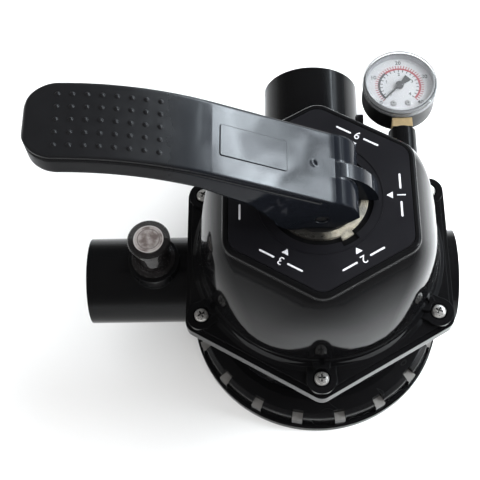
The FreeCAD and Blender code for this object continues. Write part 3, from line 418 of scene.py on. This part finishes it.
def acetal():
    """Cream wear washer, turned in fine rings, worn, with the lever's painted shadow, near black, on one side."""
    paint = Material("acetal_cream", 0.35)
    cream = paint.mixed(paint.patchy(130, 5, 0.42, 0.62), (0.40, 0.365, 0.29), (0.19, 0.18, 0.155))
    aside = paint.vector_maths("DOT_PRODUCT", paint.place, n1=PAINTED_SHADOW_SIDE)
    ragged = paint.maths("MULTIPLY", paint.maths("SUBTRACT", paint.noise(90), 0.5), 8 * MM)
    # Painted shadow: near-black colour with a ragged edge on the side where the lever's shadow falls.
    paint.tint(paint.ramp(paint.maths("ADD", aside, ragged), *PAINTED_SHADOW_EDGE), cream, (0.020, 0.019, 0.017))
    paint.feed("Roughness", paint.patchy(300, 3, 0.3, 0.7, 0.22, 0.4))
    turns = paint.maths("MULTIPLY", paint.away_from(0, 0), math.tau / TURNING_PITCH)
    paint.bump(paint.maths("SINE", turns), 0.12 * MM)
    return paint


def rubber():
    paint = Material("seal_rubber", 0.65)
    paint.tint(paint.noise(300), (0.014, 0.014, 0.014), (0.03, 0.03, 0.03))
    paint.feed("Roughness", paint.patchy(500, 4, 0.3, 0.7, 0.55, 0.75))
    paint.bump(paint.noise(2500, 2), 0.02 * MM)
    return paint


# Distances from the gauge's middle, and heights below the top of its lens.
LENS_RIM = (21.6 * MM, 22.4 * MM)
LENS_TURN, LENS_FOOT = (22.9 * MM, 24.1 * MM), (1.8 * MM, 2.8 * MM)
CASE_INSIDE, CASE_INNER_WALL = (22.25 * MM, 22.35 * MM), (12 * MM, 11 * MM)


def gauge_window(middle, top):
    """Clear moulded lens: a greyer rim, dark lines where its wall turns that are a painted reflection, and faint
    haze.
    """
    paint = Material("lens_acrylic", 0.06)
    paint.soft_edges(0.6 * MM)
    out = paint.away_from(middle.x, middle.y)
    fall = paint.maths("SUBTRACT", top, paint.axis("Z"))
    # Painted reflection: dark lines where the lens wall turns.
    turn = paint.maths("MULTIPLY", paint.band(out, *LENS_TURN), paint.facing_up())
    line = paint.maths("MAXIMUM", turn, paint.band(fall, *LENS_FOOT, 0.2 * MM))
    paint.tint(line, (0.36, 0.37, 0.38), (0.030, 0.031, 0.034))
    paint.feed("Roughness", paint.patchy(90, 4, 0.4, 0.8, 0.04, 0.12))
    paint.bump(paint.noise(70, 2), 0.03 * MM)
    clear = paint.blended(paint.ramp(out, *LENS_RIM), paint.patchy(45, 4, 0.4, 0.75, 0.998, 0.990), 0.66)
    paint.see_through(paint.blended(line, clear, 0.35))
    return paint


def case_black(middle, top):
    """The gauge's satin black case, with a pale inner wall that shows round the dial."""
    shade = 0.0045
    paint = satin_black("case_black", shade)
    paint.feed("Specular IOR Level", 0.22)
    low, high = (top - depth for depth in CASE_INNER_WALL)
    inside = paint.ramp(paint.away_from(middle.x, middle.y), *CASE_INSIDE, 1, 0)
    smudged = paint.mixed(paint.noise(120, 3), (0.26, 0.27, 0.29), (0.40, 0.41, 0.43))
    paint.tint(paint.maths("MULTIPLY", inside, paint.ramp(paint.axis("Z"), low, high)), (shade,) * 3, smudged)
    return paint


# Distances from the sight glass's middle, and the depth of its window below its top.
CUP_WINDOW = (9.8 * MM, 10.4 * MM)
CUP_LINE, CUP_GLINT = (6.9 * MM, 7.8 * MM), (9.2 * MM, 10.1 * MM)
CUP_DEPTH = (4.5 * MM, 4.0 * MM)


def smoked_cup(middle, top):
    """Sight glass: smoked clear wall, a dark ring and a milky, faintly pink window on top."""
    paint = Material("smoked_acrylic", 0.06)
    paint.soft_edges(0.6 * MM)
    out = paint.away_from(middle.x, middle.y)
    low, high = (top - depth for depth in CUP_DEPTH)
    window = paint.maths("MULTIPLY", paint.ramp(out, *CUP_WINDOW, 1, 0), paint.ramp(paint.axis("Z"), low, high))
    swirl = paint.noise(150)
    milk = paint.mixed(paint.ramp(swirl, 0.36, 0.62), (0.15, 0.122, 0.115), (0.38, 0.350, 0.340))
    milk = paint.mixed(paint.band(out, *CUP_LINE), milk, (0.16, 0.14, 0.135))
    # A painted highlight: a bright ring near the window's edge.
    milk = paint.mixed(paint.band(out, *CUP_GLINT), milk, (0.48, 0.46, 0.45))
    paint.tint(window, (0.012, 0.011, 0.011), milk)
    paint.feed("Roughness", paint.patchy(90, 4, 0.4, 0.8, 0.04, 0.12))
    paint.bump(swirl, 0.05 * MM)
    paint.see_through(paint.blended(window, 0.20, 0.10))
    return paint


def dial_white():
    paint = Material("dial_white", 0.45)
    paint.tint(paint.noise(90, 3), (0.54, 0.545, 0.56), (0.49, 0.495, 0.51))
    paint.bump(paint.noise(1500, 2), 0.01 * MM)
    return paint


def middle_of(node):
    """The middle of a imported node's box, and the height of its top."""
    low, high = (Vector(corner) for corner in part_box(node))
    return (low + high) / 2, high.z


def finish_nodes():
    """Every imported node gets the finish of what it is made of."""
    black = gloss_black("black_gloss")
    satin = satin_black("satin_black")
    steel = metal("stainless", (0.62, 0.605, 0.58), 0.24, 0.38, bare=0.85)
    brass = metal("brass", (0.66, 0.50, 0.28), 0.34, 0.5)
    cream = acetal()
    seal = rubber()
    lens = middle_of("gauge_lens")
    finishes = {
        "valve_body": black, "lid": black, "collar_nut": nut_black(), "handle": handle_plastic(),
        "label_plate": label_charcoal(), "hub_washer": cream, "spring_thrust_washer": cream,
        "cam_plate": satin, "rotor": satin, "rotor_stem": satin, "lid_screws": steel, "rotor_spring": steel,
        "handle_pin": metal("pin_steel", (0.20, 0.20, 0.205), 0.30, 0.42, bare=1.0),
        "screw_inserts": brass, "gauge_stem": brass, "gauge_movement": brass, "bourdon_tube": brass,
        "lid_oring": seal, "neck_oring": seal, "stem_orings": seal, "sight_glass_oring": seal,
        "spider_gasket": seal, "gauge_stem_seal": seal,
        "gauge_case": case_black(*lens), "gauge_lens": gauge_window(*lens),
        "sight_glass": smoked_cup(*middle_of("sight_glass")),
        "gauge_dial": dial_white(), "gauge_needle": satin_black("needle_black", 0.012),
    }
    for name, thing in nodes.items():
        thing.data.materials.clear()
        thing.data.materials.append(finishes[name].material)


# ---------------------------------------------------------------- printed marks, needle and dial screws

PRINT_THICK, PRINT_LIFT = 0.06 * MM, 0.01 * MM        # ink floats a hair over its plate
WHITE_INK, BLACK_INK, RED_INK = (0.62, 0.62, 0.65), (0.012, 0.012, 0.018), (0.34, 0.018, 0.035)

# The dial plate. Distances are from its middle.
LABEL_RECESS = 0.35 * MM
TRIANGLE = [(-2.0 * MM, 0), (1.7 * MM, -2.3 * MM), (1.7 * MM, 2.3 * MM)]
TRIANGLE_OUT, NUMERAL_OUT, BAR_ASIDE = 42.6 * MM, 49.2 * MM, 9.6 * MM
BAR_LENGTH, BAR_WIDTH, BAR_END_STEPS = 10.5 * MM, 1.2 * MM, 6
LABEL_NUMERAL = 7.6 * MM

# The pressure gauge. Its arc runs clockwise, dark and then red, with dark ticks inside it and red ones outside.
SCALE_START, SCALE_SWEEP, RED_START = 225, 270, 132   # degrees
ARC_RADIUS, TICK_WIDTH = 13.6 * MM, 0.60 * MM
DARK_SCALE = (1.5 * MM, 30, 11.2 * MM, 13.0 * MM, 20)  # the arc's width and sides, the ticks' two ends and their gaps
RED_SCALE = (1.3 * MM, 48, 14.2 * MM, 16.3 * MM, 40)
OUTER_NUMBERS, INNER_NUMBERS = (18.4 * MM, 3.9 * MM), (9.2 * MM, 3.2 * MM)      # distance and size
NUMBERS, OUTER_STEP, NUMBER_BOLD = 5, 10, 0.07 * MM

# The needle points along X before it is turned. It lies under the top of the CAD needle, and its hub starts lower.
HAND = [(0, -0.75 * MM), (14.6 * MM, -0.30 * MM), (15.4 * MM, 0), (14.6 * MM, 0.30 * MM), (0, 0.75 * MM)]
TAIL = [(-8.4 * MM, -2.7 * MM), (-2.0 * MM, -1.0 * MM), (-2.0 * MM, 1.0 * MM), (-8.4 * MM, 2.7 * MM)]
BLADE_UNDER, BLADE_THICK = 1.6 * MM, 0.6 * MM
HUB_RADIUS, HUB_UNDER, HUB_THICK, HUB_SIDES = 2.7 * MM, 0.3 * MM, 1.5 * MM, 36

# The screws that hold the dial. Their rings of (radius, lift) run from the rim to the floor of the recess.
SCREW_RINGS = ((2.1 * MM, 0), (2.1 * MM, 0.35 * MM), (1.5 * MM, 0.6 * MM),
               (0.45 * MM, 0.6 * MM), (0.45 * MM, 0.25 * MM))
SCREW_ASIDE, SCREW_BELOW, SCREW_SIDES = 4.8 * MM, 13.4 * MM, 28


def add_plates(plates, shapes, height, thick):
    """Add thin flat plates to a mesh. Each shape is a closed outline of (x, y) points."""
    for outline in shapes:
        corners = [plates.verts.new((x, y, height)) for x, y in outline]
        face = plates.faces.new(corners)
        face.normal_update()
        if face.normal.z < 0:
            face.normal_flip()
        grown = bmesh.ops.extrude_face_region(plates, geom=[face])
        lifted = [item for item in grown["geom"] if isinstance(item, bmesh.types.BMVert)]
        bmesh.ops.translate(plates, verts=lifted, vec=(0, 0, thick))
        face.normal_flip()
    bmesh.ops.recalc_face_normals(plates, faces=plates.faces)


def add_numeral(plates, text, size, move, height, bold=0.0):
    """Add a printed number, centred on its own middle, to a mesh of plates, through a 2-D move."""
    curve = bpy.data.curves.new("numeral", "FONT")
    curve.body = text
    curve.size = size
    curve.align_x = "CENTER"
    curve.align_y = "CENTER"
    curve.extrude = PRINT_THICK / 2
    curve.offset = bold
    writer = bpy.data.objects.new("numeral", curve)
    mesh = bpy.data.meshes.new_from_object(writer)
    mesh.transform(Matrix.Translation((0, 0, height + PRINT_THICK / 2)) @ move)
    plates.from_mesh(mesh)
    bpy.data.objects.remove(writer)
    bpy.data.curves.remove(curve)
    bpy.data.meshes.remove(mesh)


def as_piece(name, plates, paint, body):
    """Turn a bmesh into a named piece that rides on a body."""
    mesh = bpy.data.meshes.new(name)
    plates.to_mesh(mesh)
    plates.free()
    mesh.materials.append(paint.material)
    piece = bpy.data.objects.new(name, mesh)
    bpy.context.scene.collection.objects.link(piece)
    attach(piece, body)
    return piece


def turned(points, angle, x, y):
    """An outline, turned about its origin and then moved."""
    cosine, sine = math.cos(angle), math.sin(angle)
    return [(x + px * cosine - py * sine, y + px * sine + py * cosine) for px, py in points]


def bar(length, width):
    """A bar with round ends, centred, along Y."""
    radius, half = width / 2, (length - width) / 2
    points = []
    for end, start in ((1, 0), (-1, math.pi)):
        for step in range(BAR_END_STEPS + 1):
            angle = start + step * math.pi / BAR_END_STEPS
            points.append((radius * math.cos(angle), end * half + radius * math.sin(angle)))
    return points


def arc_band(x, y, radius, width, start, stop, steps):
    """Quads along a circular band, from one angle to another in degrees."""
    inner, outer = radius - width / 2, radius + width / 2
    quads = []
    for number in range(steps):
        first, last = (math.radians(start + (stop - start) * (number + k) / steps) for k in (0, 1))
        quads.append([(x + r * math.cos(a), y + r * math.sin(a))
                      for r, a in ((inner, first), (outer, first), (outer, last), (inner, last))])
    return quads


def scale(x, y, start, stop, width, sides, near, far, gaps):
    """A part of the gauge's arc, and ticks over its whole sweep."""
    half = TICK_WIDTH / 2
    tick = [(near, -half), (far, -half), (far, half), (near, half)]
    angles = [math.radians(SCALE_START - SCALE_SWEEP * k / gaps) for k in range(gaps + 1)]
    return arc_band(x, y, ARC_RADIUS, width, start, stop, sides) + [turned(tick, angle, x, y) for angle in angles]


def add_label_print():
    """Six positions round the dial plate: a triangle, a numeral and two plain bars each."""
    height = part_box("label_plate")[1][2] - LABEL_RECESS + PRINT_LIFT
    shapes, moves = [], []
    for position in range(6):
        angle = math.radians(-60 * position)
        aside, out = Vector((-math.sin(angle), math.cos(angle))), Vector((math.cos(angle), math.sin(angle)))
        shapes.append(turned(TRIANGLE, angle, *(out * TRIANGLE_OUT)))
        for side in (-1, 1):
            spot = out * NUMERAL_OUT + aside * side * BAR_ASIDE
            shapes.append(turned(bar(BAR_LENGTH, BAR_WIDTH), angle, *spot))
        moves.append(Matrix.Translation((*(out * NUMERAL_OUT), 0)) @ Matrix.Rotation(angle - math.pi / 2, 4, "Z"))
    plates = bmesh.new()
    add_plates(plates, shapes, height, PRINT_THICK)
    for position, move in enumerate(moves):
        add_numeral(plates, str(position + 1), LABEL_NUMERAL, move, height)
    as_piece("label_print", plates, print_ink("ink_white", WHITE_INK), "valve")


def add_gauge_print():
    """The pressure gauge's dial: its arc, ticks and numbers, first the dark ones and then the red."""
    middle, top = middle_of("gauge_dial")
    x, y, height = middle.x, middle.y, top + PRINT_LIFT
    plates = bmesh.new()
    add_plates(plates, scale(x, y, SCALE_START, RED_START, *DARK_SCALE), height, PRINT_THICK)
    for index in range(NUMBERS):
        angle = math.radians(SCALE_START - SCALE_SWEEP * index / (NUMBERS - 1))
        for value, (radius, size) in ((index * OUTER_STEP, OUTER_NUMBERS), (index, INNER_NUMBERS)):
            move = Matrix.Translation((x + radius * math.cos(angle), y + radius * math.sin(angle), 0))
            add_numeral(plates, str(value), size, move, height, NUMBER_BOLD)
    as_piece("gauge_print_black", plates, print_ink("ink_black", BLACK_INK), "valve")

    plates = bmesh.new()
    add_plates(plates, scale(x, y, RED_START, SCALE_START - SCALE_SWEEP, *RED_SCALE), height, PRINT_THICK)
    as_piece("gauge_print_red", plates, print_ink("ink_red", RED_INK), "valve")


def add_needle():
    """The gauge's needle: a slim hand, a wide tail and a hub, in place of the plainer CAD one."""
    middle = middle_of("gauge_dial")[0]
    x, y, height = middle.x, middle.y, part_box("gauge_needle")[1][2] - BLADE_UNDER
    heading = math.radians(SCALE_START)
    blades = bmesh.new()
    add_plates(blades, [turned(HAND, heading, x, y), turned(TAIL, heading, x, y)], height, BLADE_THICK)
    hub = arc_band(x, y, HUB_RADIUS / 2, HUB_RADIUS, 0, 360, HUB_SIDES)
    add_plates(blades, hub, height - HUB_UNDER, HUB_THICK)
    needle = as_piece("needle_blade", blades, satin_black("needle_paint", 0.010), "needle")
    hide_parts("gauge_needle")


def add_dial_screws():
    """The two screws that hold the gauge's dial."""
    middle, top = middle_of("gauge_dial")
    x, y, height = middle.x, middle.y, top + PRINT_LIFT
    angles = [k * math.tau / SCREW_SIDES for k in range(SCREW_SIDES)]
    heads = bmesh.new()
    for aside in (-SCREW_ASIDE, SCREW_ASIDE):
        rings = []
        for radius, lift in SCREW_RINGS:
            rings.append([heads.verts.new((x + aside + radius * math.cos(angle),
                                           y - SCREW_BELOW + radius * math.sin(angle),
                                           height + lift)) for angle in angles])
        for lower, upper in zip(rings, rings[1:]):
            for k in range(SCREW_SIDES):
                after = (k + 1) % SCREW_SIDES
                heads.faces.new((lower[k], lower[after], upper[after], upper[k]))
        heads.faces.new(rings[-1])
    steel = metal("dial_screw_steel", (0.70, 0.70, 0.70), 0.3, 0.45)
    as_piece("gauge_dial_screws", heads, steel, "valve")


add_camera()
add_studio()
finish_nodes()
add_label_print()
add_gauge_print()
add_needle()
add_dial_screws()
